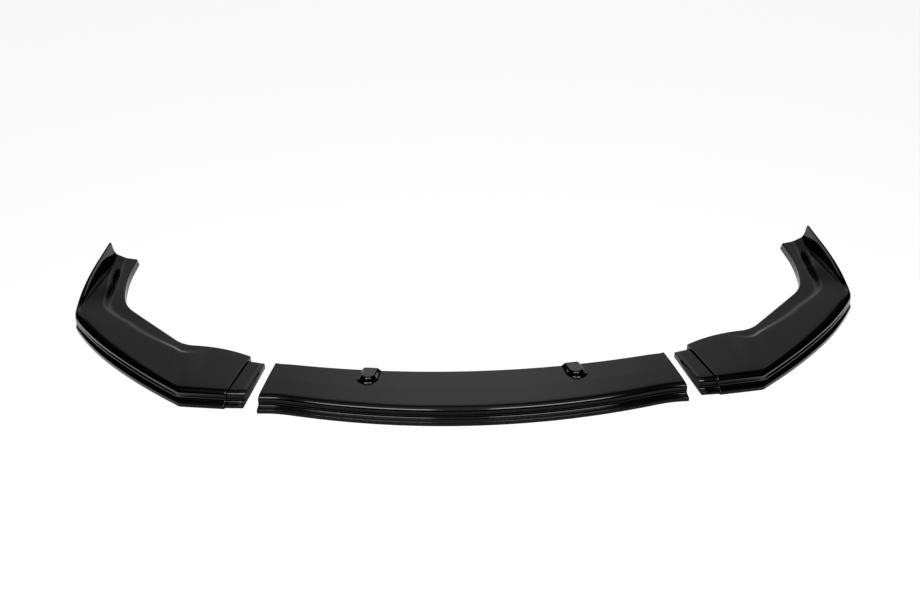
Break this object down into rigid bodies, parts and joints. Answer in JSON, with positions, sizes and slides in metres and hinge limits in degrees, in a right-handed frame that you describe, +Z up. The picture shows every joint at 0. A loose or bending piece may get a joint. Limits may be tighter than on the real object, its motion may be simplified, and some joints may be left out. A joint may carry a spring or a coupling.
{
  "type": "front splitter lip",
  "caption": "Gloss black bumper lip: a bowed centre section with small rear bosses, and mirrored end pieces that sweep round the corners and rise into upright fins.",
  "frame": {"origin": "middle of the bounding box, on the floor that the lip lies on", "axes": "+X across the car along the length of the lip, +Y from the blade's front edge to the rear, +Z up"},
  "size_m": [1.795, 0.6499, 0.063],
  "materials": {
    "gloss_black": "high gloss, as moulded"
  },
  "bodies": {
    "root": {"centre_section": "gloss_black", "left_end": "gloss_black", "right_end": "gloss_black"}
  },
  "joints": []
}
